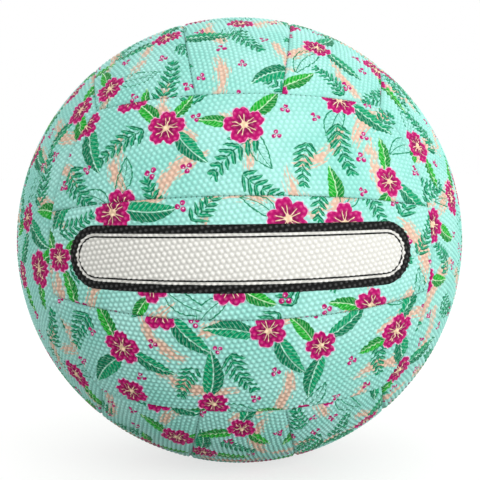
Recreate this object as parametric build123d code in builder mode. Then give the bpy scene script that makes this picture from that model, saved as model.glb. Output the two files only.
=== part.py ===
# Match netball, size 5: eighteen stitched rubber-grip panels over an inflated bladder.
# Millimetres and degrees. Origin at the ball's centre, +Z up, front towards -Y.
import math
import os

from build123d import *

# Ball and panel layout
ball_circumference = 700.0
group_side_angle = 39.0  # from a group's middle to the long side of its outer strips
seam_angle = 13.7  # from a group's middle to the seam beside its middle strip
seam_end_angle = 9.8  # the same, where that seam runs into the next group

# Panel section: rubber grip sheet bonded to cloth, its edges turned in and stitched
panel_thickness = 2.2
lip_thickness = 2.0
lip_depth = 2.6  # below the panel's back
seam_gap = 0.2  # between the two lips of a seam
side_lean = 3.0  # how far the walls of a seam between two groups lean off the ball's radius
shoulder_width = 1.3  # sloping edge beside the seam
shoulder_depth = 1.6

# Seam thread
thread_size = 0.5
thread_clearance = 0.1
thread_end_room = 3.0  # left free at the corners where seams meet

# Bladder, and the patch that strengthens it round the valve
bladder_wall = 0.8
bladder_clearance = 0.3  # to the ends of the lips
patch_diameter = 44.0
patch_thickness = 1.2
patch_clearance = 0.3  # to the valve's flange
bond_gap = 0.1  # glue line

# Valve, on the middle of the back group
stem_diameter = 9.0
stem_clearance = 0.25  # to the hole in the panel
stem_recess = 0.2  # below the ball's surface
flange_diameter = 18.0
flange_clearance = 0.3  # to the panel's back
neck_diameter = 12.0  # where the housing passes through the bladder
collar_diameter = 15.0  # behind the bladder's wall
collar_height = 1.6
housing_length = 20.0  # from the stem's face to the tip
housing_tip_diameter = 7.0
core_diameter = 5.6
core_clearance = 0.1
core_length = 15.0
core_recess = 0.3  # below the stem's face
core_tip_diameter = 3.6
core_tip_length = 2.0
barb_diameter = 7.2  # ring that holds the core in its housing
barb_height = 2.4
barb_depth = 6.0  # from the core's face to the ring's middle
needle_diameter = 2.0
needle_depth = 9.0

# Room for cuts
trim_angle = 25.0  # how far a cut reaches past a panel's edge
blank_margin = 4.0  # spare angle round a panel before it is cut
cut_margin = 6.0  # how far a cut reaches above and below a wall

ball_radius = ball_circumference / (2 * math.pi)
panel_back = ball_radius - panel_thickness
lip_end = panel_back - lip_depth
bladder_radius = lip_end - bladder_clearance
corner = 1 / math.sqrt(3)  # three groups meet where x, y and z are equal
corner_turn = 45.0  # turn about a group's strips from its middle to its corners
centre = (0, 0, 0)


def polar(radius, angle):
    """Point of a profile at an angle from the profile's own axis."""
    turn = math.radians(angle)
    return (radius * math.sin(turn), radius * math.cos(turn))


def circle_of(middle_angle, end_out, end_across):
    """Seam circle through its middle and its ends: the slant of its plane and its angular radius."""
    across, out = polar(1, middle_angle)
    slant = math.atan2(across - end_across, out - end_out)
    height = across * math.cos(slant) - out * math.sin(slant)
    return slant, math.degrees(math.acos(height))


# A group's long sides pass through the corners. They are also the ends of the next group's strips.
side_slant, side_radius = circle_of(group_side_angle, corner, corner)
end_angle = 90 - group_side_angle

# A seam between two strips ends on that circle, at the seam's end angle
seam_end_across, seam_end_flat = polar(1, seam_end_angle)
end_direction = math.degrees(math.asin(math.cos(math.radians(side_radius)) / seam_end_flat))
seam_end_along, seam_end_out = polar(seam_end_flat, 90 - end_direction - math.degrees(side_slant))
seam_slant, seam_radius = circle_of(seam_angle, seam_end_out, seam_end_across)

# Axes of the circles in a group's frame: X along the strips, Y across them, Z out of the ball
along, across, outward = Vector(1, 0, 0), Vector(0, 1, 0), Vector(0, 0, 1)
side_axis = across * math.cos(side_slant) - outward * math.sin(side_slant)
seam_axis = across * math.cos(seam_slant) - outward * math.sin(seam_slant)
end_axis = outward * math.cos(side_slant) - along * math.sin(side_slant)
seam_lean = 90 - seam_radius  # flat walls at a seam between two strips
side_half_arc = math.degrees(math.asin(corner / math.sin(math.radians(side_radius))))
seam_half_arc = math.degrees(math.asin(seam_end_along / math.sin(math.radians(seam_radius))))


def start_plane(axis, towards, half_arc):
    """Plane through a circle's axis, turned back by half an arc from the arc's middle."""
    middle = (towards - axis * towards.dot(axis)).normalized()
    x_dir = middle.rotate(Axis(centre, axis), -half_arc)
    return Plane(origin=centre, x_dir=x_dir, z_dir=x_dir.cross(axis))


def edge_cut(axis, towards, angle, half_arc, panel_side, lean, inset, low, high, sloped):
    """Ring that trims a panel along a circle, with a wall that leans off the ball's own radius.

    panel_side is 1 where the panel lies at larger angles from the axis, and -1 at smaller ones.
    A sloped cut also takes off the shoulder at the top of the wall.
    """
    wall = angle + panel_side * math.degrees(inset / ball_radius)
    shoulder = wall + panel_side * math.degrees(shoulder_width / ball_radius)
    far = angle - panel_side * trim_angle
    edge, inwards = Vector(*polar(ball_radius, wall)), Vector(*polar(1, angle + lean))

    def on_wall(radius):
        reach = edge.dot(inwards)
        return edge - inwards * (reach - math.sqrt(reach**2 - ball_radius**2 + radius**2))

    slope = (on_wall(ball_radius - shoulder_depth), polar(ball_radius, shoulder), polar(high, shoulder))
    tops = slope if sloped else (on_wall(high),)
    with BuildPart() as ring:
        with BuildSketch(start_plane(axis, towards, half_arc)):
            with BuildLine():
                Polyline(on_wall(low), *tops, polar(high, far), polar(low, far), close=True)
            make_face()
        revolve(axis=Axis(centre, axis), revolution_arc=2 * half_arc)
    return ring.part


def strip_piece(is_middle, low, high, inset, sloped):
    """A strip's piece of the ball between two radii, cut back from its four seams by inset."""
    turn_from = -seam_angle - blank_margin if is_middle else seam_angle - blank_margin
    turn_to = seam_angle + blank_margin if is_middle else corner_turn + blank_margin
    reach = end_angle + blank_margin
    size = (inset, low - cut_margin, high + cut_margin, sloped)
    side_arc, seam_arc = side_half_arc + trim_angle / 2, seam_half_arc + trim_angle / 2
    cuts = []
    if is_middle:
        for sign in (1, -1):
            axis = Vector(seam_axis.X, sign * seam_axis.Y, seam_axis.Z)
            cuts.append(edge_cut(axis, outward, seam_radius, seam_arc, 1, seam_lean, *size))
    else:
        cuts.append(edge_cut(side_axis, outward, side_radius, side_arc, 1, side_lean, *size))
        cuts.append(edge_cut(seam_axis, outward, seam_radius, seam_arc, -1, seam_lean, *size))
    for sign in (1, -1):
        axis = Vector(sign * end_axis.X, end_axis.Y, end_axis.Z)
        cuts.append(edge_cut(axis, along * sign, side_radius, side_arc, -1, side_lean, *size))
    start = Plane(centre, x_dir=along, z_dir=(-across).rotate(Axis.X, -turn_to))
    with BuildPart() as piece:
        with BuildSketch(start):
            with BuildLine():
                Line(polar(low, -reach), polar(high, -reach))
                ThreePointArc(polar(high, -reach), polar(high, 0), polar(high, reach))
                Line(polar(high, reach), polar(low, reach))
                ThreePointArc(polar(low, reach), polar(low, 0), polar(low, -reach))
            make_face()
        revolve(axis=Axis.X, revolution_arc=turn_to - turn_from)
        for cut in cuts:
            add(cut, mode=Mode.SUBTRACT)
    return piece.part


def panel_blank(is_middle):
    """A panel in its group's frame: a shallow tray whose rim is the turned-in lip."""
    whole = strip_piece(is_middle, lip_end, ball_radius, seam_gap / 2, True)
    pocket_floor = lip_end - cut_margin
    pocket = strip_piece(is_middle, pocket_floor, panel_back, seam_gap / 2 + lip_thickness, False)
    with BuildPart() as panel:
        add(whole)
        add(pocket, mode=Mode.SUBTRACT)
    return panel.part


middle_blank = panel_blank(True)
outer_blank = panel_blank(False)

# Six groups: the way out of the ball, the way along the strips, and the names of the two outer strips
groups = {
    "front": ((0, -1, 0), (1, 0, 0), "upper", "lower"),
    "back": ((0, 1, 0), (-1, 0, 0), "upper", "lower"),
    "right": ((1, 0, 0), (0, 0, 1), "front", "back"),
    "left": ((-1, 0, 0), (0, 0, 1), "back", "front"),
    "top": ((0, 0, 1), (0, 1, 0), "left", "right"),
    "bottom": ((0, 0, -1), (0, 1, 0), "right", "left"),
}
valve_group = "back"
os.makedirs("parts", exist_ok=True)


def group_plane(name, turned=False):
    """Frame of a group. Turned by half a turn, it takes the group's first outer strip to its second."""
    out, strips = (Vector(*way) for way in groups[name][:2])
    return Plane(centre, x_dir=-strips if turned else strips, z_dir=out)


# Panels
hole_diameter = stem_diameter + 2 * stem_clearance
for group, (_, _, first_strip, second_strip) in groups.items():
    for strip, blank, turned in (
        ("middle", middle_blank, False),
        (first_strip, outer_blank, False),
        (second_strip, outer_blank, True),
    ):
        place = group_plane(group, turned)
        with BuildPart() as panel:
            add(blank.moved(place.location))
            if group == valve_group and strip == "middle":
                with BuildSketch(place.offset(lip_end)):
                    Circle(hole_diameter / 2)
                extrude(amount=ball_radius - lip_end, mode=Mode.SUBTRACT)
        name = f"{group}_{strip}_panel"
        panel.part.label = name
        export_step(panel.part, f"parts/{name}.step")

# Seam thread, lying in the groove between the shoulders of two panels
shoulder_slope = math.hypot(shoulder_width, shoulder_depth)
thread_room = shoulder_slope * (thread_size / 2 + thread_clearance) - shoulder_depth * seam_gap / 2
thread_radius = ball_radius - shoulder_depth + thread_room / shoulder_width


def thread_run(axis, angle, half_arc):
    """Thread of one seam in its group's frame, a square cord along the seam's circle."""
    end_room = math.degrees(thread_end_room / (ball_radius * math.sin(math.radians(angle))))
    run_arc = half_arc - end_room
    with BuildPart() as run:
        with BuildSketch(start_plane(axis, outward, run_arc)):
            with Locations(polar(thread_radius, angle)):
                RegularPolygon(thread_size / 2, 4, rotation=-angle)
        revolve(axis=Axis(centre, axis), revolution_arc=2 * run_arc)
    return run.part


strip_run = thread_run(seam_axis, seam_radius, seam_half_arc)
side_run = thread_run(side_axis, side_radius, side_half_arc)
for name, run in (("strip_seam_thread", strip_run), ("group_seam_thread", side_run)):
    with BuildPart() as thread:
        for group in groups:
            for turned in (False, True):
                add(run.moved(group_plane(group, turned).location))
    thread.part.label = name
    export_step(thread.part, f"parts/{name}.step")

# Bladder, with the hole for the valve's neck
valve_place = group_plane(valve_group)
neck_hole_diameter = neck_diameter + 2 * bond_gap
with BuildPart() as bladder:
    Sphere(bladder_radius)
    Sphere(bladder_radius - bladder_wall, mode=Mode.SUBTRACT)
    with BuildSketch(valve_place):
        Circle(neck_hole_diameter / 2)
    extrude(amount=ball_radius, mode=Mode.SUBTRACT)
bladder.part.label = "bladder"
export_step(bladder.part, "parts/bladder.step")

# Half section of the valve: x from the valve's axis, y outwards along it
valve_section = Plane(centre, x_dir=valve_place.x_dir, z_dir=valve_place.x_dir.cross(valve_place.z_dir))
valve_axis = Axis(centre, valve_place.z_dir)


def on_ball(radius, offset):
    """Point of the valve's section on a ball of that radius, at an offset from the valve's axis."""
    return (offset, math.sqrt(radius**2 - offset**2))


# Patch glued to the bladder round the valve
bladder_seat = bladder_radius + bond_gap
patch_inner = flange_diameter / 2 + patch_clearance
patch_outer = patch_diameter / 2
patch_middle = (patch_inner + patch_outer) / 2
patch_slope = math.degrees(math.asin(patch_middle / bladder_seat))
patch_width = patch_outer - patch_inner
with BuildPart() as patch:
    with BuildSketch(valve_section):
        with Locations(polar(bladder_seat + patch_thickness / 2, patch_slope)):
            Rectangle(patch_width, patch_thickness, rotation=-patch_slope)
    revolve(axis=valve_axis)
patch.part.label = "valve_patch"
export_step(patch.part, "parts/valve_patch.step")

# Valve core: a soft plug with a barb, pushed into the housing
stem_face = ball_radius - stem_recess
core_face = stem_face - core_recess
core_foot = core_face - core_length


def core_solid(grow, face):
    """The core grown by a clearance, with its face at a height along the valve's axis."""
    barb = core_face - barb_depth
    shaft_radius = core_diameter / 2 + grow
    tip_top = core_foot + core_tip_length
    with BuildPart() as core:
        with BuildSketch(valve_section):
            with BuildLine():
                Polyline(
                    (0, core_foot - grow),
                    (core_tip_diameter / 2 + grow, core_foot - grow),
                    (shaft_radius, tip_top - grow),
                    (shaft_radius, barb - barb_height / 2 - grow),
                    (barb_diameter / 2 + grow, barb),
                    (shaft_radius, barb + barb_height / 2 + grow),
                    (shaft_radius, face),
                    (0, face),
                    close=True,
                )
            make_face()
        revolve(axis=valve_axis)
    return core.part


core_blank = core_solid(0, core_face)
with BuildPart() as core:
    add(core_blank)
    with BuildSketch(valve_place.offset(core_face)):
        Circle(needle_diameter / 2)
    extrude(amount=-needle_depth, mode=Mode.SUBTRACT)
core.part.label = "valve_core"
export_step(core.part, "parts/valve_core.step")

# Valve housing: stem, flange on the bladder, neck through it, and a tapered body behind it
flange_high = panel_back - flange_clearance
collar_high = bladder_radius - bladder_wall - bond_gap
collar_foot = on_ball(collar_high, collar_diameter / 2)[1] - collar_height
housing_tip = stem_face - housing_length
stem_radius, flange_radius, neck_radius, collar_radius, tip_radius = (
    size / 2
    for size in (stem_diameter, flange_diameter, neck_diameter, collar_diameter, housing_tip_diameter)
)
core_space = core_solid(core_clearance, ball_radius)
with BuildPart() as housing:
    with BuildSketch(valve_section):
        with BuildLine():
            Polyline(
                (0, stem_face),
                (stem_radius, stem_face),
                on_ball(flange_high, stem_radius),
                on_ball(flange_high, flange_radius),
                on_ball(bladder_seat, flange_radius),
                on_ball(bladder_seat, neck_radius),
                on_ball(collar_high, neck_radius),
                on_ball(collar_high, collar_radius),
                (collar_radius, collar_foot),
                (tip_radius, housing_tip),
                (0, housing_tip),
                close=True,
            )
        make_face()
    revolve(axis=valve_axis)
    add(core_space, mode=Mode.SUBTRACT)
housing.part.label = "valve_housing"
export_step(housing.part, "parts/valve_housing.step")
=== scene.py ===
# Stitched netball: printed rubber-grip panels, stitches and valve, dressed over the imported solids.
# Sizes are in millimetres and angles in degrees. Meshes are written in metres.
import math
from functools import partial

import bpy
import numpy as np
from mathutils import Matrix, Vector
from mathutils.geometry import delaunay_2d_cdt


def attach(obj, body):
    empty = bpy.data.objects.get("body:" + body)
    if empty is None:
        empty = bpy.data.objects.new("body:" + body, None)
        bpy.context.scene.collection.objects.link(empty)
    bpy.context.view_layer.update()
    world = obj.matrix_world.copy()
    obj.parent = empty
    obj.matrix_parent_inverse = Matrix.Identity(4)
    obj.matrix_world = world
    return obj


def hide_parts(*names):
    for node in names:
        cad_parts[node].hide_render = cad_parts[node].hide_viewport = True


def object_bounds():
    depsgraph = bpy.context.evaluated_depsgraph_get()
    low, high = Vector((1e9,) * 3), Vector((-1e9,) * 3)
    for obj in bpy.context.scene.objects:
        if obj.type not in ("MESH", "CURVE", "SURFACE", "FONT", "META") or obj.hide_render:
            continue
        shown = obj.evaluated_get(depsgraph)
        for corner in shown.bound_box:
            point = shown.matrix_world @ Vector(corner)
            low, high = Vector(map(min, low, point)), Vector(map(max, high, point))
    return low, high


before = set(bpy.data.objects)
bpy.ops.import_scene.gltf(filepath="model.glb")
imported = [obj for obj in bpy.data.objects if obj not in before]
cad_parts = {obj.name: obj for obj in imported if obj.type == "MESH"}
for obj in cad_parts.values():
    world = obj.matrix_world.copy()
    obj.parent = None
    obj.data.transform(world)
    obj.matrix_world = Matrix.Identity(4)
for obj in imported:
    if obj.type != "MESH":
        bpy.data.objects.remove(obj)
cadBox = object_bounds()
scene = bpy.context.scene
metre = 1000.0  # millimetres in a metre
fullTurn = 2 * math.pi
ballRadius = min(high - low for low, high in zip(*cadBox)) / 2 * metre
print("frame loaded, ball radius", round(ballRadius, 3))

# Panel layout: the angles of the seams from the middle of a group of three strips
layout = {"sideAngle": 39.0, "seamAngle": 13.7, "seamEndAngle": 9.8}

# Moulded grip sheet: pimples in staggered rows, and edges that roll down into the seams
grip = {
    "pitch": 2.55,  # between pimples
    "turn": 8.0,  # of the rows of pimples from the strip's length
    "drift": 0.12,  # of a pimple from its place in the rows
    "driftX": (12.9, 78.2),  # its waves per column and row, which only have to look loose
    "driftY": (39.3, 11.1),
    "height": 0.7,
    "domeRadius": 1.0,
    "roundness": 0.75,
    "fadeFrom": 0.35,  # pimples grow from nothing between these distances from the seam
    "fadeTo": 1.1,
    "seamGap": 0.04,  # from the seam's line to the panel's wall
    "shoulderWidth": 0.7,
    "shoulderDepth": 0.26,
    "softDrop": 0.14,  # slow fall towards the seam
    "softReach": 2.2,
    "pinchDepth": 0.55,  # where a stitch pulls the edge in
    "pinchReach": 0.6,
    "pinchPower": 3,  # higher keeps the pull nearer to its stitch
    "lipEnd": 106.7,  # radius where the turned-in lip ends
    "lipWidth": 2.0,
    "backRadius": 109.2,
}

panelMesh = {
    "steps": 5,  # from one pimple to the next
    "edgeRows": (1.1, 0.82, 0.58, 0.38, 0.22, 0.1, 0.04),  # distances of the rows beside the seam
    "edgeStep": 0.4,  # along the seam
    "edgeTrial": 40,  # steps that an edge's length is measured with
    "room": 0.25,  # from the rows to the loose points of the face
    "faceSpan": (112.0, 66.0),  # half sizes of the lattices that are cut to the panel
    "backSpan": (100.0, 40.0),
    "backStep": 7.0,
}

stitch = {
    "pitch": 2.3,
    "thread": 0.36,  # its thickness
    "swell": (0.72, 1.0, 1.08, 1.0, 0.72),  # share of the thickness from end to end
    "flatten": 1.1,  # its width over its height
    "span": 0.55,  # half length, across the groove
    "depth": 1.3,  # of its middle below the ball's surface
    "sag": 0.3,  # of its ends below its middle
    "sides": 6,
    "endRoom": 2.2,  # left free where seams meet
}

valveHole = {
    "radius": 4.75,
    "shoulderWidth": 0.8,
    "shoulderDepth": 0.8,
    "plainRing": 1.6,  # without pimples
    "fade": 1.0,  # over which they grow beyond it
    "rows": (1.4, 1.0, 0.66, 0.4, 0.2, 0.07, 0.0),  # distances of the mesh rows beside it
    "count": 72,  # mesh steps round it
}


def unit(vectors):
    # each vector divided by its length
    vectors = np.asarray(vectors, float)
    return vectors / np.linalg.norm(vectors, axis=-1, keepdims=True)


def smoothStep(low, high, values):
    # 0 below low, 1 above high, and a soft S between
    share = np.clip((values - low) / (high - low), 0, 1)
    return share * share * (3 - 2 * share)


def seamCircle(middleAngle, endOut, endAcross):
    # a circle on the ball through a seam's middle and end: its plane's slant and its angular radius
    across, out = math.sin(math.radians(middleAngle)), math.cos(math.radians(middleAngle))
    slant = math.atan2(across - endAcross, out - endOut)
    return slant, math.acos(across * math.cos(slant) - out * math.sin(slant))


# Circles of the seams in a group's own frame: X along the strips, Y across them, Z out of the ball
corner = 1 / math.sqrt(3)  # three groups meet where x, y and z are equal
sideSlant, sideRadius = seamCircle(layout["sideAngle"], corner, corner)
endAcross = math.sin(math.radians(layout["seamEndAngle"]))
endFlat = math.cos(math.radians(layout["seamEndAngle"]))
endTurn = math.asin(math.cos(sideRadius) / endFlat) + sideSlant
seamSlant, seamRadius = seamCircle(layout["seamAngle"], endFlat * math.sin(endTurn), endAcross)
upSeam = (0, math.cos(seamSlant), -math.sin(seamSlant))
downSeam = (0, -math.cos(seamSlant), -math.sin(seamSlant))
upSide = (0, math.cos(sideSlant), -math.sin(sideSlant))
rightEnd = (-math.sin(sideSlant), 0, math.cos(sideSlant))
leftEnd = (math.sin(sideSlant), 0, math.cos(sideSlant))

# Four edges of a panel, anticlockwise from the lower one: the circle's axis, radius and way to its middle,
# and 1 where the panel lies outside the circle or -1 inside
outWay, rightWay, leftWay = (0, 0, 1), (1, 0, 0), (-1, 0, 0)
ends = ((rightEnd, sideRadius, rightWay, -1), (leftEnd, sideRadius, leftWay, -1))
middleEdges = ((downSeam, seamRadius, outWay, 1), ends[0], (upSeam, seamRadius, outWay, 1), ends[1])
outerEdges = ((upSeam, seamRadius, outWay, -1), ends[0], (upSide, sideRadius, outWay, 1), ends[1])


def circleFrame(axis, towards):
    # unit axis, the way from it to the circle's middle, and the way along the circle there
    axis = np.asarray(axis, float)
    middle = unit(np.asarray(towards, float) - axis * np.dot(axis, towards))
    return axis, middle, np.cross(axis, middle)


def edgeFields(ways, edges):
    # for each direction: distance inside the nearest edge, and the way along that edge from its middle
    inside, along = [], []
    for axisWay, radius, towards, side in edges:
        axis, middle, tangent = circleFrame(axisWay, towards)
        inside.append(side * (np.arccos(np.clip(ways @ axis, -1, 1)) - radius) * ballRadius)
        along.append(np.arctan2(ways @ tangent, ways @ middle) * math.sin(radius) * ballRadius)
    inside, along = np.array(inside), np.array(along)
    nearest = inside.argmin(0)
    column = np.arange(len(ways))
    return inside[nearest, column], along[nearest, column]


def edgeLoop(edges, inset, counts):
    # directions all round a panel at one distance inside its edges: four arcs between the points where
    # neighbouring circles meet
    axes = [np.asarray(edge[0], float) for edge in edges]
    radii = [edge[1] + edge[3] * inset / ballRadius for edge in edges]
    corners = []
    for index in range(len(edges)):
        first, second = axes[index - 1], axes[index]
        cosFirst, cosSecond = math.cos(radii[index - 1]), math.cos(radii[index])
        shared = first @ second
        reach = 1 - shared**2
        flat = ((cosFirst - shared * cosSecond) * first + (cosSecond - shared * cosFirst) * second) / reach
        lift = np.cross(first, second) * math.sqrt((1 - flat @ flat) / reach)
        corners.append(max(flat + lift, flat - lift, key=lambda point: point[2]))
    arcs = []
    for index, count in enumerate(counts):
        axis, middle, tangent = circleFrame(axes[index], corners[index])
        stop = corners[(index + 1) % len(corners)]
        turn = math.atan2(stop @ tangent, stop @ middle) * (np.arange(count) / count)[:, None]
        ring = middle * np.cos(turn) + tangent * np.sin(turn)
        arcs.append(axis * math.cos(radii[index]) + ring * math.sin(radii[index]))
    return np.concatenate(arcs)


def sheetFrame(centreAngle):
    # a strip's own axes: along it, across it and out of its middle, tilted from the group's middle
    turn = math.radians(centreAngle)
    out = np.array([0, math.sin(turn), math.cos(turn)])
    return np.array([[1, 0, 0], np.cross(out, [1, 0, 0]), out])


def toSheet(ways, axes):
    # equal-area map of the ball onto the flat sheet that a strip is cut from
    local = ways @ axes.T
    return local[:, :2] * (ballRadius * np.sqrt(2 / (1 + local[:, 2:])))


def fromSheet(points, axes):
    # the same map back onto the ball
    away = np.sum(points**2, -1, keepdims=True) / ballRadius**2
    local = np.concatenate([points / ballRadius * np.sqrt(1 - away / 4), 1 - away / 2], -1)
    return local @ axes


rowShare = math.sqrt(3) / 2  # from row to row of a triangular lattice, over its step


def staggered(spanX, spanY, step):
    # points of a triangular lattice that fills a rectangle
    rowStep = step * rowShare
    columns, rows = int(spanX / step), int(spanY / rowStep)
    column, row = np.meshgrid(np.arange(-columns, columns + 1), np.arange(-rows, rows + 1))
    return np.stack([(column + 0.5 * (row % 2)) * step, row * rowStep], -1).reshape(-1, 2)


rowTurn = math.radians(grip["turn"])
rowAxes = np.array([[math.cos(rowTurn), math.sin(rowTurn)], [-math.sin(rowTurn), math.cos(rowTurn)]])


def pimpleShare(points):
    # 1 on a pimple's top and 0 between pimples: a dome over the nearest point of the turned, staggered
    # lattice, whose points are moved a little from their places by sines of column and row
    points = points @ rowAxes.T
    pitch, rowStep = grip["pitch"], grip["pitch"] * rowShare
    lowerRow = np.floor(points[:, 1] / rowStep)
    away = []
    for row in (lowerRow, lowerRow + 1):
        start = (row % 2) * pitch / 2
        column = np.round((points[:, 0] - start) / pitch)
        driftX, driftY = (
            grip["drift"] * np.sin(forColumn * column + forRow * row)
            for forColumn, forRow in (grip["driftX"], grip["driftY"])
        )
        overX = points[:, 0] - column * pitch - start - driftX
        overY = points[:, 1] - row * rowStep - driftY
        away.append(np.hypot(overX, overY))
    share = np.minimum(*away) / grip["domeRadius"]
    return np.clip(1 - share**2, 0, 1) ** grip["roundness"]


def rolledEdge(inside, gap, width, depth):
    # quarter-round fall at an edge: nothing at its inner side, the whole depth at the wall
    share = np.clip((inside - gap) / width, 0, 1)
    return depth * (1 - np.sqrt(1 - (1 - share) ** 2))


def surfaceHeights(ways, points, edges, hole):
    # radius of the panel's face, the pimples' share and the distance from the seam. The radius is that
    # of the ball less the rolled edge, the slow fall, the stitches' pull and the hollows between pimples
    inside, along = edgeFields(ways, edges)
    drop = rolledEdge(inside, grip["seamGap"], grip["shoulderWidth"], grip["shoulderDepth"])
    drop += grip["softDrop"] * np.exp(-((inside / grip["softReach"]) ** 2))
    pull = (0.5 + 0.5 * np.cos(fullTurn * along / stitch["pitch"])) ** grip["pinchPower"]
    drop += grip["pinchDepth"] * pull * np.exp(-((inside / grip["pinchReach"]) ** 2))
    share = pimpleShare(points) * smoothStep(grip["fadeFrom"], grip["fadeTo"], inside)
    if hole:
        beside = np.hypot(points[:, 0], points[:, 1]) - valveHole["radius"]
        drop += rolledEdge(beside, 0, valveHole["shoulderWidth"], valveHole["shoulderDepth"])
        share *= smoothStep(valveHole["plainRing"], valveHole["plainRing"] + valveHole["fade"], beside)
    return ballRadius - drop - grip["height"] * (1 - share), share, inside


def ringFaces(first, second, count):
    # two triangles for each step between two closed rings of the same count
    here = np.arange(count)
    after = (here + 1) % count
    return np.concatenate([
        np.stack([first + here, second + here, second + after], -1),
        np.stack([first + here, second + after, first + after], -1),
    ])


def fillFaces(loops, inner, axes, edges, inset):
    # triangles between closed loops and the loose points inside them, by constrained Delaunay; those that
    # bridge a hollow edge or cover the hole are dropped
    starts = np.cumsum([0] + [len(loop) for loop in loops])
    links = np.concatenate([
        np.stack([start + np.arange(len(loop)), start + (np.arange(len(loop)) + 1) % len(loop)], -1)
        for start, loop in zip(starts, loops)
    ])
    points = np.concatenate([*loops, inner])
    insideOnly, mergeWithin = 1, 1e-7  # Delaunay's kind of result and its merging distance
    filled = delaunay_2d_cdt(points.tolist(), links.tolist(), [], insideOnly, mergeWithin, False)
    faces = np.array(filled[2])
    middles = points[faces].mean(1)
    keep = edgeFields(fromSheet(middles, axes), edges)[0] > inset
    if len(loops) > 1:  # the second loop is a round hole, and a face that touches its rim stays
        rimSlack = 0.999
        keep &= np.linalg.norm(middles, axis=1) > np.linalg.norm(loops[1], axis=1).min() * rimSlack
    return faces[keep]


def circleLoop(radius, count):
    # points of a circle, clockwise, so that a strip from it runs the other way
    turn = -np.arange(count) / count * fullTurn
    return np.stack([np.cos(turn), np.sin(turn)], -1) * radius


def loosePoints(lattice, axes, edges, inset, holeRadius):
    # points of a lattice that keep clear of a panel's edges and of its hole
    keep = edgeFields(fromSheet(lattice, axes), edges)[0] > inset
    return lattice[keep & (np.linalg.norm(lattice, axis=1) > holeRadius)]


def panelBlank(edges, centreAngle, hole=False):
    # one closed panel in its group's frame: pimpled face, rolled edge, wall, lip, and the back of the tray
    axes = sheetFrame(centreAngle)
    trial = edgeLoop(edges, 0, [panelMesh["edgeTrial"]] * len(edges)).reshape(len(edges), -1, 3)
    lengths = np.linalg.norm(np.diff(trial, axis=1), axis=-1).sum(-1) * ballRadius
    counts = [int(length / panelMesh["edgeStep"]) for length in lengths]
    around = sum(counts)
    rows = [edgeLoop(edges, inset, counts) for inset in panelMesh["edgeRows"]]
    lipInset = grip["seamGap"] + grip["lipWidth"]
    backRoom = panelMesh["backStep"] / 3
    lipWays = edgeLoop(edges, lipInset, counts)
    holeCount, holeRows, faceHole, backHole = 0, [], -1, -1
    if hole:
        holeCount = valveHole["count"]
        holeRows = [circleLoop(valveHole["radius"] + beside, holeCount) for beside in valveHole["rows"]]
        faceHole = valveHole["radius"] + valveHole["rows"][0] + panelMesh["room"]
        backHole = valveHole["radius"] + backRoom
    holeWays = [fromSheet(row, axes) for row in holeRows]
    fine = staggered(*panelMesh["faceSpan"], grip["pitch"] / panelMesh["steps"]) @ rowAxes
    fine = loosePoints(fine, axes, edges, panelMesh["edgeRows"][0] + panelMesh["room"], faceHole)
    coarse = staggered(*panelMesh["backSpan"], panelMesh["backStep"])
    coarse = loosePoints(coarse, axes, edges, lipInset + backRoom, backHole)

    # vertices: face rows, hole rows, fine points, then the wall's foot, the lip's end twice and the back
    faceWays = np.concatenate([*rows, *holeWays, fromSheet(fine, axes)])
    backWays = np.concatenate([rows[-1], lipWays, lipWays, *holeWays[-1:], fromSheet(coarse, axes)])
    faceRadius, share, inside = surfaceHeights(faceWays, toSheet(faceWays, axes), edges, hole)
    backRadius = np.where(np.arange(len(backWays)) < 2 * around, grip["lipEnd"], grip["backRadius"])
    ways = np.concatenate([faceWays, backWays])
    radius = np.concatenate([faceRadius, backRadius])
    holeStart = around * len(rows)
    fineStart = holeStart + holeCount * len(holeRows)
    wallStart = len(faceWays)
    lipStart = wallStart + around
    trayStart = lipStart + around

    # faces: filled middle, edge rows, hole rows and walls, then lip, tray side and back
    fill = fillFaces([toSheet(rows[0], axes), *holeRows[:1]], fine, axes, edges, panelMesh["edgeRows"][0])
    order = (np.arange(around), holeStart + np.arange(holeCount), fineStart + np.arange(len(fine)))
    front = [np.concatenate(order)[fill]]
    front += [ringFaces(start, start + around, around) for start in range(0, holeStart - around, around)]
    front += [
        ringFaces(holeStart + i * holeCount, holeStart + (i + 1) * holeCount, holeCount)
        for i in range(len(holeRows) - 1)
    ]
    front.append(ringFaces(holeStart - around, wallStart, around))
    if hole:
        front.append(ringFaces(fineStart - holeCount, trayStart + around, holeCount))
    backFill = fillFaces([toSheet(lipWays, axes), *holeRows[-1:]], coarse, axes, edges, lipInset)
    back = [ringFaces(wallStart, lipStart, around), ringFaces(lipStart, trayStart, around)]
    back.append((trayStart + backFill)[:, ::-1])
    frontFaces, backFaces = np.concatenate(front), np.concatenate(back)
    faces = np.concatenate([frontFaces, backFaces])
    return {
        "places": ways * radius[:, None],
        "sheet": toSheet(ways, axes),
        "faces": faces,
        "isBack": np.arange(len(faces)) >= len(frontFaces),
        "share": np.concatenate([share, np.zeros(len(backWays))]),
        "inside": np.concatenate([inside, np.zeros(len(backWays))]),
        "wall": wallStart + np.arange(around),
    }


outerAngle = (layout["seamAngle"] + layout["sideAngle"]) / 2
blanks = {
    "middle": panelBlank(middleEdges, 0),
    "valve": panelBlank(middleEdges, 0, hole=True),
    "outer": panelBlank(outerEdges, outerAngle),
}
for kind, blank in blanks.items():
    print("panel blank", kind, len(blank["places"]), "points", len(blank["faces"]), "triangles")


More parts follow.
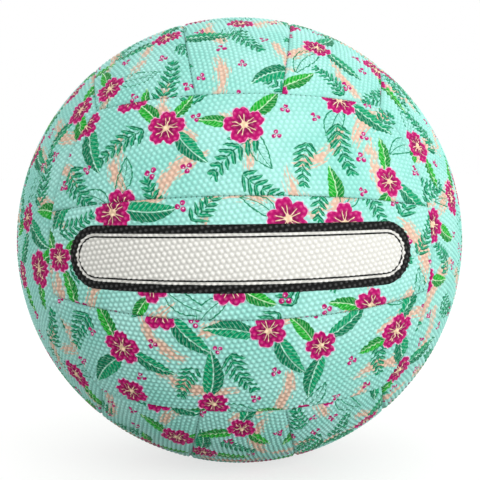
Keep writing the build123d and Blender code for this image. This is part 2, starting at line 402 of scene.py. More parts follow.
def meshObject(name, places, faces, materials, slots=None):
    # one object at the origin from whole arrays, places in millimetres
    mesh = bpy.data.meshes.new(name)
    mesh.vertices.add(len(places))
    mesh.vertices.foreach_set("co", (np.asarray(places) / metre).astype(np.float32).ravel())
    mesh.loops.add(faces.size)
    mesh.loops.foreach_set("vertex_index", faces.astype(np.int32).ravel())
    mesh.polygons.add(len(faces))
    mesh.polygons.foreach_set("loop_start", np.arange(0, faces.size, faces.shape[1], dtype=np.int32))
    for material in materials:
        mesh.materials.append(material)
    if slots is not None:
        mesh.polygons.foreach_set("material_index", slots.astype(np.int32))
    mesh.update(calc_edges=True)
    mesh.shade_smooth()
    piece = bpy.data.objects.new(name, mesh)
    scene.collection.objects.link(piece)
    return piece


def pointField(piece, name, values):
    # a vector for each vertex, for the material to read
    field = piece.data.attributes.new(name, "FLOAT_VECTOR", "POINT")
    field.data.foreach_set("vector", np.stack(values, -1).astype(np.float32).ravel())


# Print: flowers with leaves round them, and fronds, berries and pale washes between. A radius is half a
# long motif's length, apart the least distance between two of a kind, and most how many a panel has
motifs = {
    "blossom": {
        "radius": 8.8, "apart": 25.0, "most": 11, "petals": 5,
        "notch": 0.34, "notchPower": 2.4,  # between petals
        "dip": 0.09, "dipWidth": 0.2,  # in a petal's tip
    },
    "broadLeaf": {"radius": 11.5, "width": 4.3, "bend": 1.5, "veinStep": 2.1},
    "leaf": {"radius": 8.4, "width": 3.4, "bend": 0.9, "veinStep": 1.7},
    "lineLeaf": {"radius": 10.0, "width": 4.4, "bend": 1.8, "veinStep": 1.9},
    "frond": {
        "radius": 12.0, "apart": 19.0, "most": 12, "bend": 1.8, "stem": 0.3,
        "leaflet": 6.6, "leafletStep": 3.5, "leafletWidth": 1.08, "leafletSlant": 0.75,
        "leafletFoot": 0.75, "leafletRound": 0.8, "leafletSkew": 0.8,  # its outline
        "pairs": 3,  # each side of the middle pair
        "shorten": 0.09,  # from one pair to the next
        "shift": 0.15,  # of the middle pair towards the foot
    },
    "berry": {"apart": 11.0, "most": 22, "number": 3, "ring": 1.6, "dot": 1.15, "shine": 0.3},
    "wash": {"radius": 17.0, "apart": 24.0, "most": 13, "width": 3.2, "bend": 4.5, "bluntness": 4},
}
clearOf = {  # least distance from the middles of motifs that are already there
    "frond": {"blossom": 14.5, "broadLeaf": 9.5, "leaf": 8.0, "lineLeaf": 9.5},
    "berry": {"blossom": 12.5, "broadLeaf": 8.0, "leaf": 7.0, "lineLeaf": 8.0, "frond": 8.5},
}
motifSizes = (0.82, 1.12)
sheetHalf = (98.0, 36.0)
tries = 500
spray = {  # leaves round a flower
    "kinds": ("broadLeaf", "leaf", "lineLeaf"),
    "shares": (0.42, 0.34, 0.24),
    "number": 3,
    "start": 5.5,  # from the flower's middle to the leaf's foot
    "sizes": (0.85, 1.15),
    "turns": (1.2, 2.4),  # from leaf to leaf, in radians
    "flowerRoom": 12.5,
    "leafRoom": 9.0,
}


def scatter(random):
    # dart throwing: a motif stays where it keeps its distance from those before it. Each flower then
    # gets a few leaves that point away from it
    placed = {kind: [] for kind in motifs}
    for kind in ("blossom", "frond", "berry", "wash"):
        motif = motifs[kind]
        spots = random.uniform(-1, 1, (tries, 2)) * sheetHalf
        turns, sizes = random.uniform(0, fullTurn, tries), random.uniform(*motifSizes, tries)
        rules = {kind: motif["apart"], **clearOf.get(kind, {})}
        for spot, turn, size in zip(spots, turns, sizes):
            others = [(other[0], apart) for near, apart in rules.items() for other in placed[near]]
            clear = all(math.dist(spot, other) >= apart for other, apart in others)
            if clear and len(placed[kind]) < motif["most"]:
                placed[kind].append((spot, turn, size))
        if kind != "blossom":
            continue
        for flower in [entry[0] for entry in placed["blossom"]]:
            way = random.uniform(0, fullTurn)
            for _ in range(spray["number"]):
                leafKind = random.choice(spray["kinds"], p=spray["shares"])
                size = random.uniform(*spray["sizes"])
                reach = spray["start"] + motifs[leafKind]["radius"] * size
                spot = flower + np.array([math.cos(way), math.sin(way)]) * reach
                flowers = [other[0] for other in placed["blossom"] if other[0] is not flower]
                leaves = [other[0] for near in spray["kinds"] for other in placed[near]]
                clear = all(math.dist(spot, other) > spray["flowerRoom"] for other in flowers)
                if clear and all(math.dist(spot, other) > spray["leafRoom"] for other in leaves):
                    placed[leafKind].append((spot, way, size))
                way += random.uniform(*spray["turns"])
    return placed


edgeSlope = 0.85  # outlines slant, so a distance straight across is a little too long


def blossomShape(x, y, motif):
    # petals: the radius swings with the angle, with a small dip in each petal's tip
    away = np.hypot(x, y)
    petal = np.abs(np.mod(np.arctan2(y, x) * motif["petals"] / fullTurn, 1) - 0.5) * 2
    dip = motif["dip"] * np.exp(-((petal / motif["dipWidth"]) ** 2))
    rim = motif["radius"] * (1 - motif["notch"] * petal ** motif["notchPower"] - dip)
    return (away - rim) * edgeSlope, petal, away / rim


leafForm = {
    "fullness": 0.92,
    "tip": 0.95,  # powers that round the foot and point the tip
    "foot": 0.55,
    "veinSlant": 0.9,
    "stalk": 0.26,  # half thickness, half length and its middle's distance from the foot
    "stalkHalf": 1.6,
    "stalkOut": 0.8,
}


def leafShape(x, y, motif):
    # a leaf, round at the foot and pointed at the tip, bent a little, with a short stalk
    reach = motif["radius"]
    y = y - motif["bend"] * (x / reach) ** 2
    share = np.clip(x / reach, -1, 1)
    outline = (1 - share) ** leafForm["tip"] * (1 + share) ** leafForm["foot"]
    half = motif["width"] * leafForm["fullness"] * outline
    blade = np.where(np.abs(x) < reach, np.abs(y) - half, np.hypot(np.abs(x) - reach, y))
    stalkAlong = np.abs(x + reach + leafForm["stalkOut"]) - leafForm["stalkHalf"]
    stalk = np.maximum(np.abs(y) - leafForm["stalk"], stalkAlong)
    veins = (x - leafForm["veinSlant"] * np.abs(y)) / motif["veinStep"]
    return np.minimum(blade * edgeSlope, stalk), y, veins


def frondShape(x, y, motif):
    # a bent stem with slanted pairs of pointed leaflets that shorten towards the tip
    reach, pairs = motif["radius"], motif["pairs"]
    y = y - motif["bend"] * (x / reach) ** 2
    side = np.abs(y)
    slid = x - motif["leafletSlant"] * side + reach * motif["shift"]
    number = np.clip(np.round(slid / motif["leafletStep"]), -pairs, pairs)
    across = slid - number * motif["leafletStep"]
    length = motif["leaflet"] * (1 - motif["shorten"] * (number + pairs))
    share = np.clip(side / length, 0, 1)
    outline = np.sin(math.pi * share ** motif["leafletFoot"]) ** motif["leafletRound"]
    leaflet = np.abs(across) * motif["leafletSkew"] - motif["leafletWidth"] * outline
    leaflet = np.maximum(leaflet, side - length)
    stem = np.maximum(side - motif["stem"], np.abs(x) - reach)
    return np.minimum(leaflet, stem), across, share


def berryShape(x, y, motif):
    # round berries in a ring, and the way from the shine on each
    sector = fullTurn / motif["number"]
    turn = np.mod(np.arctan2(y, x), sector) - sector / 2
    away = np.hypot(x, y)
    overX, overY = away * np.cos(turn) - motif["ring"], away * np.sin(turn)
    return np.hypot(overX, overY) - motif["dot"], overX + motif["shine"], overY - motif["shine"]


def washShape(x, y, motif):
    # one pass of a broad brush: a bow that thins at both ends
    reach = motif["radius"]
    share = x / reach
    y = y - motif["bend"] * share**2
    half = motif["width"] * np.sqrt(np.clip(1 - share ** motif["bluntness"], 0, 1))
    return np.where(np.abs(share) < 1, np.abs(y) - half, np.hypot(np.abs(x) - reach, y)), x, y


shapes = {
    "blossom": blossomShape,
    "frond": frondShape,
    "berry": berryShape,
    "wash": washShape,
    **dict.fromkeys(spray["kinds"], leafShape),
}
farOff = 9.0  # a distance that is outside every outline


def printFields(points, placed):
    # for each kind: distance outside the nearest motif's outline, with that motif's two inner coordinates
    fields = {}
    for kind, spots in placed.items():
        best = np.full((len(points), 3), farOff)
        for spot, turn, size in spots:
            overX, overY = ((points - spot) / size).T
            x = overX * math.cos(turn) + overY * math.sin(turn)
            y = overY * math.cos(turn) - overX * math.sin(turn)
            values = np.stack(shapes[kind](x, y, motifs[kind]), -1)
            values[:, 0] *= size
            nearer = values[:, 0] < best[:, 0]
            best[nearer] = values[nearer]
        fields[kind] = best.T
    return fields


# Plain printed bar along the front's middle strip: white, with a black border and a fine black line
bar = {"halfLength": 80.0, "halfHeight": 14.5, "border": 3.8, "lineInset": 5.3, "lineWidth": 0.8}


def barField(points):
    # distance outside a bar with round ends, from which the material draws its borders
    overX = np.maximum(np.abs(points[:, 0]) - bar["halfLength"] + bar["halfHeight"], 0)
    return np.hypot(overX, points[:, 1]) - bar["halfHeight"]


def linear(hexColour):
    # sRGB hex to the linear colour that sockets take, by the standard's own curve
    parts = [int(hexColour[i:i + 2], 16) / 255 for i in (1, 3, 5)]
    return (*(part / 12.92 if part <= 0.04045 else ((part + 0.055) / 1.055) ** 2.4 for part in parts), 1.0)


def addNode(tree, kind, links=(), **settings):
    # one shader node with its settings, whose outputs come back. Links gives inputs a value or another
    # node's output, in order or by socket. Map Range takes a value, its two ends and what they become. Mix
    # takes a share at 0 and two colours at 6 and 7, and gives a colour at 2
    node = tree.nodes.new("ShaderNode" + kind)
    for key, value in settings.items():
        setattr(node, key, value)
    for socket, value in links.items() if isinstance(links, dict) else enumerate(links):
        if isinstance(value, bpy.types.NodeSocket):
            tree.links.new(value, node.inputs[socket])
        else:
            node.inputs[socket].default_value = value
    return node.outputs


def newMaterial(name, roughness, specular):
    # a material with its shader, whose even values are set on its own sockets
    material = bpy.data.materials.new(name)
    material.use_nodes = True
    shader = material.node_tree.nodes["Principled BSDF"]
    shader.inputs["Roughness"].default_value = roughness
    shader.inputs["Specular IOR Level"].default_value = specular
    shader.inputs["IOR"].default_value = 1.5  # of rubber, ink, paper and polyester
    return material, material.node_tree, shader


def joinSurface(tree, shader, colour, height, strength, depth):
    # colour and fine relief to the shader; the relief's depth is in millimetres
    tree.links.new(colour, shader.inputs["Base Color"])
    relief = {"Height": height, "Strength": strength, "Distance": depth / metre}
    tree.links.new(addNode(tree, "Bump", relief)[0], shader.inputs["Normal"])


pureWhite = (1, 1, 1, 1)
inks = {
    "ground": "#95DED1", "groundPale": "#ADEAE0", "wash": "#EDBCA3",
    "black": "#0B0C0C", "white": "#E6E5DF",
    "blossom": "#C20C70", "blossomDeep": "#84084F", "blossomEdge": "#F0A9D0", "heart": "#F6D9B4",
    "lineLeaf": "#008A60", "berry": "#BE0C74", "berryShine": "#F3C6DF",
    "frond": "#009A6A", "frondLine": "#78D2B0", "frondDeep": "#007A56",
    "broadLeaf": "#00A06C", "broadLeafDeep": "#007F58", "broadLeafLine": "#B5EAD6",
    "leaf": "#14B02E", "leafDeep": "#078C34", "leafLine": "#C2EDBF",
}

# Pairs are a ramp's two ends, from throat to heart in shares of a petal. A noise has its size and detail
gripLook = {
    "roughness": 0.42,
    "specular": 0.12,
    "soft": 0.1,  # half width of an outline's soft edge
    "noises": {"cloud": (30.0, 3.0), "hand": (2.2, 2.0), "blotch": (7.0, 5.0), "grain": (0.5, 2.0)},
    "noiseSpan": (0.3, 0.7),  # what noise mostly lies between
    "cloud": (0.35, 0.65),
    "wander": 0.25,  # of the painter's hand
    "ragged": 1.8,  # of a wash's edge
    "hair": (0.14, 1.3, 5.0),  # streaks of the brush per millimetre along and across, and their break-up
    "streak": (0.35, 0.7),
    "dry": (-1.6, 3.4),  # what a streak adds to a wash's edge
    "washEdge": (0.5, -0.9),
    "washShare": 0.88,
    "ribs": {"lineLeaf": (0.2, 0.13), "frond": (0.12, 0), "broadLeaf": (0.26, 0.1), "leaf": (0.22, 0.1)},
    "veinShare": 0.4,
    "lineLeafRim": (-0.6, -0.4),
    "berryShine": (0.42, 0.25),
    "fan": (8.0, 0.8),  # streaks over half a petal, and along it
    "throat": (1.05, 0.2),
    "throatDeep": (0.16, 0.4),
    "filamentPlace": 0.32,  # from the petal's middle to its side
    "filament": (0.045, 0.02),
    "filamentEnd": (0.62, 0.55),
    "heart": (0.22, 0.18),
    "petalRim": (-0.4, -0.25),
    # painted highlight: the tops of the pimples are mixed towards white
    "topHighlightFrom": 0.4,  # up a pimple
    "topHighlight": 0.06,
    # painted shade: the hollows between the pimples are darkened to this tone
    "hollowShadeTo": 0.8,
    "hollowShade": 0.78,
    # a little darker close to the seam: from these distances to this tone
    "seamDarkening": (0.1, 0.5),  # distances from the seam
    "seamDarkTone": 0.96,
    "grainDepth": 0.05,
    "grainBump": 0.25,
    "grainRough": 0.16,
    "rough": (0.52, 0.34),  # in the hollows and on the tops
}


def gripRubber():
    # printed grip rubber, moulded with pimples: matt ink on a soft sheet, smoother on the tops, with a
    # painted highlight that makes the tops paler, painted shade that makes the hollows darker, and a
    # little darker close to the seams
    look, soft = gripLook, gripLook["soft"]
    material, tree, shader = newMaterial("printed grip rubber", look["roughness"], look["specular"])
    add = partial(addNode, tree)
    paint = {name: linear(code) for name, code in inks.items()}
    fields, noises = {}, {}
    for kind in ("grip", *motifs):
        read = add("Attribute", attribute_name=kind, attribute_type="GEOMETRY")["Vector"]
        fields[kind] = add("SeparateXYZ", (read,))
    place = add("TexCoord")["Object"]
    for name, (size, detail) in look["noises"].items():
        noises[name] = add("TexNoise", {"Vector": place, "Scale": metre / size, "Detail": detail})[0]

    # ground: two mints in soft clouds. Layers are the share and the ink of all that lies on it, in order
    layers = [(add("MapRange", (noises["cloud"], *look["cloud"]))[0], paint["groundPale"])]

    # washes: dry brush, streaked along each stroke, with ragged edges that let the ground through
    outline, along, across = fields["wash"]
    ragged = add("MapRange", (noises["blotch"], *look["noiseSpan"], -look["ragged"], look["ragged"]))[0]
    hairs = zip((along, across, noises["blotch"]), look["hair"])
    hair = add("CombineXYZ", [add("Math", pair, operation="MULTIPLY")[0] for pair in hairs])[0]
    streak = add("TexNoise", {"Vector": hair, "Scale": 1.0, "Detail": 3.0})[0]
    dry = add("MapRange", (streak, *look["streak"], *look["dry"]))[0]
    edge = add("Math", (outline, ragged), operation="ADD")[0]
    edge = add("Math", (edge, dry), operation="ADD")[0]
    layers.append((add("MapRange", (edge, *look["washEdge"], 0, look["washShare"]))[0], paint["wash"]))

    # fronds and leaves, drawn by a wandering hand: two tones, a pale midrib, and side veins on the leaves
    wander = add("MapRange", (noises["hand"], *look["noiseSpan"], -look["wander"], look["wander"]))[0]
    for kind, (rib, veins) in look["ribs"].items():
        outline, middle, third = fields[kind]
        deep, pale = (paint.get(kind + part, paint[kind]) for part in ("Deep", "Line"))
        half = add("MapRange", (middle, -soft, soft))[0]
        ink = add("Mix", {0: half, 6: deep, 7: paint[kind]}, data_type="RGBA")[2]
        beside = add("Math", (middle,), operation="ABSOLUTE")[0]
        line = add("MapRange", (beside, rib + soft, rib - soft))[0]
        if veins:
            wave = add("Math", (third, 0.5), operation="PINGPONG")[0]
            vein = add("MapRange", (wave, veins, veins / 2, 0, look["veinShare"]))[0]
            line = add("Math", (line, vein), operation="MAXIMUM")[0]
        ink = add("Mix", {0: line, 6: ink, 7: pale}, data_type="RGBA")[2]
        edge = add("Math", (outline, wander), operation="ADD")[0]
        mask = add("MapRange", (edge, soft, -soft))[0]
        if kind == "lineLeaf":  # outline and veins only, with the ground showing between
            rim = add("MapRange", (edge, *look["lineLeafRim"]))[0]
            line = add("Math", (line, rim), operation="MAXIMUM")[0]
            mask = add("Math", (mask, line), operation="MULTIPLY")[0]
        layers.append((mask, ink))

    # berries with a small shine
    outline, shineX, shineY = fields["berry"]
    spot = add("CombineXYZ", (shineX, shineY))[0]
    away = add("VectorMath", (spot,), operation="LENGTH")["Value"]
    shine = add("MapRange", (away, *look["berryShine"]))[0]
    ink = add("Mix", {0: shine, 6: paint["berry"], 7: paint["berryShine"]}, data_type="RGBA")[2]
    layers.append((add("MapRange", (outline, soft, -soft))[0], ink))

    # blossoms: pale rim, streaks that run out from a dark throat, fine filaments, and a peach heart
    outline, petal, out = fields["blossom"]
    fan = [add("Math", pair, operation="MULTIPLY")[0] for pair in zip((petal, out), look["fan"])]
    streak = add("TexNoise", {"Vector": add("CombineXYZ", fan)[0], "Scale": 1.0, "Detail": 2.0})[0]
    throat = add("MapRange", (out, *look["throat"]))[0]
    deep = add("Math", (streak, throat), operation="MULTIPLY")[0]
    deep = add("MapRange", (deep, *look["throatDeep"]))[0]
    beside = add("Math", (petal, look["filamentPlace"]), operation="SUBTRACT")[0]
    beside = add("Math", (beside, out), operation="MULTIPLY")[0]
    beside = add("Math", (beside,), operation="ABSOLUTE")[0]
    line = add("MapRange", (beside, *look["filament"]))[0]
    short = add("MapRange", (out, *look["filamentEnd"]))[0]
    line = add("Math", (line, short), operation="MULTIPLY")[0]
    heart = add("MapRange", (out, *look["heart"]))[0]
    line = add("Math", (line, heart), operation="MAXIMUM")[0]
    rim = add("MapRange", (outline, *look["petalRim"]))[0]
    ink = paint["blossom"]
    for share, tone in ((deep, "blossomDeep"), (line, "heart"), (rim, "blossomEdge")):
        ink = add("Mix", {0: share, 6: ink, 7: paint[tone]}, data_type="RGBA")[2]
    edge = add("Math", (outline, wander), operation="ADD")[0]
    layers.append((add("MapRange", (edge, soft, -soft))[0], ink))

    # plain bar over the rest: black, then white inside its border, then the fine line
    top, inside, barEdge = fields["grip"]
    fineLine = add("Math", (barEdge, bar["lineInset"]), operation="ADD")[0]
    fineLine = add("Math", (fineLine,), operation="ABSOLUTE")[0]
    for edge, reach, tone in (
        (barEdge, 0, "black"),
        (barEdge, -bar["border"], "white"),
        (fineLine, bar["lineWidth"] / 2, "black"),
    ):
        layers.append((add("MapRange", (edge, reach + soft, reach - soft))[0], paint[tone]))

    # painted highlight on the tops of the pimples, painted shade in the hollows between them, and a little
    # darker close to the seams
    layers.append((add("MapRange", (top, look["topHighlightFrom"], 1, 0, look["topHighlight"]))[0], pureWhite))
    colour = paint["ground"]
    for share, ink in layers:
        colour = add("Mix", {0: share, 6: colour, 7: ink}, data_type="RGBA")[2]
    hollowShade = add("MapRange", (top, 0, look["hollowShadeTo"], look["hollowShade"]))[0]
    seamDarkening = add("MapRange", (inside, *look["seamDarkening"], look["seamDarkTone"]))[0]
    tone = add("Math", (hollowShade, seamDarkening), operation="MULTIPLY")[0]
    colour = add("VectorMath", {0: colour, "Scale": tone}, operation="SCALE")[0]

    # skin of the rubber: a grain of half a millimetre, smoother where hands have polished the tops
    rough = add("MapRange", (top, 0, 1, *look["rough"]))[0]
    rough = add("Math", (noises["grain"], look["grainRough"], rough), operation="MULTIPLY_ADD")[0]
    tree.links.new(rough, shader.inputs["Roughness"])
    joinSurface(tree, shader, colour, noises["grain"], look["grainBump"], look["grainDepth"])
    return material


bandScale = metre * fullTurn / 20  # wave texture scale that gives one band per millimetre
cloth = {"roughness": 0.9, "specular": 0.2, "waver": 0.4, "bump": 0.5, "depth": 0.1}


def wovenCloth(name, threadHex, gapHex, spacing):
    # plain-woven cloth: two sets of threads that pass over and under, dull and a little fuzzy
    material, tree, shader = newMaterial(name, cloth["roughness"], cloth["specular"])
    place = addNode(tree, "TexCoord")["Object"]
    threads = {"Vector": place, "Scale": bandScale / spacing, "Distortion": cloth["waver"]}
    waves = [addNode(tree, "TexWave", threads, bands_direction=way)["Fac"] for way in ("X", "Z")]
    weave = addNode(tree, "Math", waves, operation="MULTIPLY")[0]
    tones = {0: weave, 6: linear(gapHex), 7: linear(threadHex)}
    colour = addNode(tree, "Mix", tones, data_type="RGBA")[2]
    joinSurface(tree, shader, colour, weave, cloth["bump"], cloth["depth"])
    return material


plainRubber = {
    "specular": 0.5, "patchSize": 9.0, "patch": (0.4, 0.75), "spread": 0.2, "bump": 0.2, "depth": 0.05,
}


def mouldedRubber(name, colourHex, bloomHex, roughness, grit):
    # plain moulded rubber: near black with a grey bloom in patches, and a fine grit from the mould
    look = plainRubber
    material, tree, shader = newMaterial(name, roughness, look["specular"])
    place = addNode(tree, "TexCoord")["Object"]
    patches = {"Vector": place, "Scale": metre / look["patchSize"], "Detail": 4.0}
    share = addNode(tree, "MapRange", (addNode(tree, "TexNoise", patches)[0], *look["patch"]))[0]
    tones = {0: share, 6: linear(colourHex), 7: linear(bloomHex)}
    colour = addNode(tree, "Mix", tones, data_type="RGBA")[2]
    fine = addNode(tree, "TexNoise", {"Vector": place, "Scale": metre / grit, "Detail": 2.0})[0]
    rough = (fine, look["spread"], roughness - look["spread"] / 2)
    tree.links.new(addNode(tree, "Math", rough, operation="MULTIPLY_ADD")[0], shader.inputs["Roughness"])
    joinSurface(tree, shader, colour, fine, look["bump"], look["depth"])
    return material


waxed = {
    "roughness": 0.5, "specular": 0.4, "twist": 0.35, "waver": 1.5, "bump": 0.4, "depth": 0.06,
    "groove": "#2B4A43", "plySheen": "#5E857B",
}


def waxedThread():
    # waxed polyester thread: grey-green and twisted; the twist's bands paint a darker tone in the grooves
    # between turns (painted shade) and a paler one on each turn (painted sheen)
    material, tree, shader = newMaterial("waxed polyester thread", waxed["roughness"], waxed["specular"])
    place = addNode(tree, "TexCoord")["Object"]
    plies = {"Vector": place, "Scale": bandScale / waxed["twist"], "Distortion": waxed["waver"]}
    twist = addNode(tree, "TexWave", plies, bands_direction="DIAGONAL")["Fac"]
    tones = {0: twist, 6: linear(waxed["groove"]), 7: linear(waxed["plySheen"])}
    colour = addNode(tree, "Mix", tones, data_type="RGBA")[2]
    joinSurface(tree, shader, colour, twist, waxed["bump"], waxed["depth"])
    return material


# cloth: name, thread, gap and spacing; rubber: name, colour, bloom, roughness and grit
printedRubber = gripRubber()
backCloth = wovenCloth("bonded backing cloth", "#DAD7CC", "#A9A598", 0.7)
patchCloth = wovenCloth("rubbered patch cloth", "#C9C3B2", "#8B8676", 0.9)
threadMaterial = waxedThread()
bladderRubber = mouldedRubber("butyl bladder rubber", "#1B1B1D", "#2A2A2D", 0.45, 1.2)
valveRubber = mouldedRubber("moulded valve rubber", "#202123", "#303134", 0.5, 0.6)
coreRubber = mouldedRubber("soft valve core rubber", "#0F0F10", "#1C1C1E", 0.4, 0.5)
print("materials made")

# Groups of strips: the way out of the ball, the way along the strips, and the two outer strips
groups = {
    "front": ((0, -1, 0), (1, 0, 0), "upper", "lower"),
    "back": ((0, 1, 0), (-1, 0, 0), "upper", "lower"),
    "right": ((1, 0, 0), (0, 0, 1), "front", "back"),
    "left": ((-1, 0, 0), (0, 0, 1), "back", "front"),
    "top": ((0, 0, 1), (0, 1, 0), "left", "right"),
    "bottom": ((0, 0, -1), (0, 1, 0), "right", "left"),
}


def groupAxes(group, turned=False):
    # rows are the group's X, Y and Z; half a turn takes its first outer strip to its second
    out, strips = (np.array(way, float) for way in groups[group][:2])
    axes = np.array([strips, np.cross(out, strips), out])
    return axes * np.array([[-1], [-1], [1]]) if turned else axes


# Map for baking: margins in millimetres of sheet, and shares of the map's height
bakeLayout = {"margin": 4.0, "wall": 3.0, "backHeight": 0.2, "faceStart": 0.22, "faceHeight": 0.76}


def bakeMap(piece, blank):
    # the face, with its walls spread outwards, in the upper part of the map, and the back in the lower
    sheet, wall = blank["sheet"], blank["wall"]
    low, high = sheet.min(0) - bakeLayout["margin"], sheet.max(0) + bakeLayout["margin"]
    share = (sheet - low) / (high - low)
    shareOut = share.copy()
    shareOut[wall] += unit(sheet[wall] - sheet.mean(0)) * bakeLayout["wall"] / (high - low)
    corners = blank["faces"].ravel()
    face = shareOut[corners] * (1, bakeLayout["faceHeight"]) + (0, bakeLayout["faceStart"])
    back = share[corners] * (1, bakeLayout["backHeight"])
    places = np.where(np.repeat(blank["isBack"], 3)[:, None], back, face)
    piece.data.uv_layers.new(name="OFBake").data.foreach_set("uv", places.astype(np.float32).ravel())


panelSeed = 40
for index, group in enumerate(groups):
    strips = (("middle", False), (groups[group][2], False), (groups[group][3], True))
    for number, (strip, turned) in enumerate(strips):
        kind = "outer" if number else "valve" if group == "back" else "middle"
        blank = blanks[kind]
        node = f"{group}_{strip}_panel"
        places = blank["places"] @ groupAxes(group, turned)
        finishes = [printedRubber, backCloth]
        piece = meshObject(f"printed_{node}", places, blank["faces"], finishes, blank["isBack"])
        bakeMap(piece, blank)
        barEdge = np.full(len(places), farOff)
        if node == "front_middle_panel":
            barEdge = barField(blank["sheet"])
        pointField(piece, "grip", (blank["share"], blank["inside"], barEdge))
        placed = scatter(np.random.default_rng(panelSeed + len(strips) * index + number))
        for name, values in printFields(blank["sheet"], placed).items():
            pointField(piece, name, values)
        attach(piece, "root")
        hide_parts(node)
print("panels made")


def stitchRow(axisWay, radius, halfArc):
    # stitches of one seam in its group's frame: a bowed bar across the groove at each step along it
    axis, middle, tangent = circleFrame(axisWay, outWay)
    reach = math.sin(radius) * ballRadius
    number = int((halfArc * reach - stitch["endRoom"]) / stitch["pitch"])
    turn = (np.arange(-number, number + 1) * stitch["pitch"] / reach)[:, None]
    outward = axis * math.cos(radius) + (middle * np.cos(turn) + tangent * np.sin(turn)) * math.sin(radius)
    along = tangent * np.cos(turn) - middle * np.sin(turn)
    across = np.cross(outward, along)
    thick = (stitch["thread"] / 2 * np.array(stitch["swell"]))[:, None]
    bow = np.linspace(-1, 1, len(thick))[:, None]
    angle = np.arange(stitch["sides"]) / stitch["sides"] * fullTurn
    height = ballRadius - stitch["depth"] - stitch["sag"] * bow**2 + thick * np.sin(angle)
    sideways = thick * np.cos(angle) * stitch["flatten"]
    over = np.broadcast_to(bow * stitch["span"], height.shape)
    ways = np.stack([outward, along, across], 1)
    return np.einsum("srw,abr->sabw", ways, np.stack([height, sideways, over], -1)).reshape(-1, 3)


def stitchFaces(count):
    # quads round every bar, and two over each of its six-sided ends
    sides, rings = stitch["sides"], len(stitch["swell"])
    ring, side = np.meshgrid(np.arange(rings - 1) * sides, np.arange(sides), indexing="ij")
    nextSide = (side + 1) % sides
    shell = np.stack([ring + side, ring + sides + side, ring + sides + nextSide, ring + nextSide], -1)
    cap = np.array([[0, 1, 2, 3], [0, 3, 4, 5]])
    single = np.concatenate([shell.reshape(-1, 4), cap, cap[:, ::-1] + (rings - 1) * sides])
    return (single[None] + (np.arange(count) * sides * rings)[:, None, None]).reshape(-1, 4)


sideHalfArc = math.asin(corner / math.sin(sideRadius))
seamHalfArc = math.asin(endFlat * math.cos(endTurn) / math.sin(seamRadius))
for node, axisWay, radius, halfArc in (
    ("strip_seam_thread", upSeam, seamRadius, seamHalfArc),
    ("group_seam_thread", upSide, sideRadius, sideHalfArc),
):
    row = stitchRow(axisWay, radius, halfArc)
    turns = [groupAxes(group, turned) for group in groups for turned in (False, True)]
    places = np.concatenate([row @ axes for axes in turns])
    faces = stitchFaces(len(places) // (len(stitch["swell"]) * stitch["sides"]))
    piece = meshObject(node.replace("thread", "stitches"), places, faces, [threadMaterial])
    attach(piece, "root")
    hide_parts(node)
    print(node, len(faces), "quads")

carried = {
    "bladder": bladderRubber,
    "valve_patch": patchCloth,
    "valve_housing": valveRubber,
    "valve_core": coreRubber,
}
for node, material in carried.items():
    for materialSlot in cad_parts[node].material_slots:
        materialSlot.material = material

# Stage: pale floor, soft light, camera as in the photograph. Glow is the floor's own light to the camera,
# and skyLight the world's strength on the ball
stage = {
    "floorHalf": 8000.0, "floorColour": "#9C9C9A", "floorRoughness": 0.9, "floorSpecular": 0.1,
    "floorGlow": 0.7, "skyLight": 0.88,
}
lamps = {  # place in ball radii, size in metres, watts
    "key": {"place": (5.2, -6.6, 1.8), "size": 0.5, "power": 5.7},
    "fill": {"place": (-5.0, -5.5, 3.0), "size": 0.9, "power": 1.2},
    "back": {"place": (1.5, 6.5, 4.5), "size": 0.9, "power": 1.5},
}
photo = {  # pixels, then ball radii, then degrees
    "size": 480.0, "outline": 222.85, "centreX": 239.5, "centreY": 240.0,
    "distance": 5.2,
    "elevation": 4.1, "azimuth": -0.3, "roll": -0.8,
}


def shownRays(tree):
    # 1 for rays that show a thing to the camera, straight, off gloss or through glass, else 0
    ray = addNode(tree, "LightPath")
    shown = ray["Is Camera Ray"]
    for kind in ("Is Glossy Ray", "Is Transmission Ray"):
        shown = addNode(tree, "Math", (shown, ray[kind]), operation="MAXIMUM")[0]
    return shown


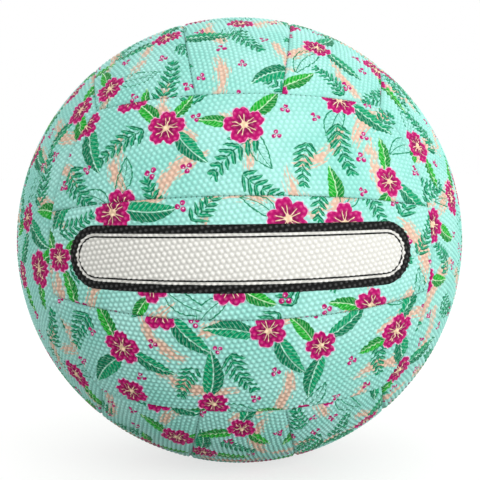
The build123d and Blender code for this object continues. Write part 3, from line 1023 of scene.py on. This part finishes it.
def paleFloor():
    # plain matt paper: it takes the ball's shadow, and shows white elsewhere
    material, tree, shader = newMaterial("pale floor", stage["floorRoughness"], stage["floorSpecular"])
    shader.inputs["Base Color"].default_value = linear(stage["floorColour"])
    shader.inputs["Emission Color"].default_value = pureWhite
    glow = addNode(tree, "Math", (shownRays(tree), stage["floorGlow"]), operation="MULTIPLY")[0]
    tree.links.new(glow, shader.inputs["Emission Strength"])
    return material


floorCorners = np.array([[-1, -1, 0], [1, -1, 0], [1, 1, 0], [-1, 1, 0]])
floorPlaces = floorCorners * stage["floorHalf"] - (0, 0, ballRadius)
floor = meshObject("floor", floorPlaces, np.array([[0, 1, 2, 3]]), [paleFloor()])

world = bpy.data.worlds.new("studio")
scene.world = world
world.use_nodes = True
background = world.node_tree.nodes["Background"]
background.inputs["Color"].default_value = pureWhite
strength = (shownRays(world.node_tree), 0, 1, stage["skyLight"])
strength = addNode(world.node_tree, "MapRange", strength)[0]
world.node_tree.links.new(strength, background.inputs["Strength"])

for name, lamp in lamps.items():
    data = bpy.data.lights.new(name, "AREA")
    data.size = lamp["size"]
    data.energy = lamp["power"]
    light = bpy.data.objects.new(name, data)
    light.location = Vector(lamp["place"]) * (ballRadius / metre)
    light.rotation_euler = (-light.location).to_track_quat("-Z", "Y").to_euler()
    scene.collection.objects.link(light)

camera = bpy.data.cameras.new("photo camera")
cameraObject = bpy.data.objects.new("photo camera", camera)
elevation, azimuth = math.radians(photo["elevation"]), math.radians(photo["azimuth"])
level = math.cos(elevation)
back = Vector((math.sin(azimuth) * level, -math.cos(azimuth) * level, math.sin(elevation)))
cameraObject.location = back * (photo["distance"] * ballRadius / metre)
cameraObject.rotation_euler = (-back).to_track_quat("-Z", "Y").to_euler()
cameraObject.rotation_euler.rotate_axis("Z", math.radians(photo["roll"]))
halfView = photo["size"] / 2 / photo["outline"] / math.sqrt(photo["distance"] ** 2 - 1)
camera.lens = camera.sensor_width / 2 / halfView
camera.shift_x = (photo["size"] / 2 - photo["centreX"]) / photo["size"]
camera.shift_y = (photo["centreY"] - photo["size"] / 2) / photo["size"]
scene.collection.objects.link(cameraObject)
scene.camera = cameraObject
scene.view_settings.view_transform = "Standard"
print("stage set")
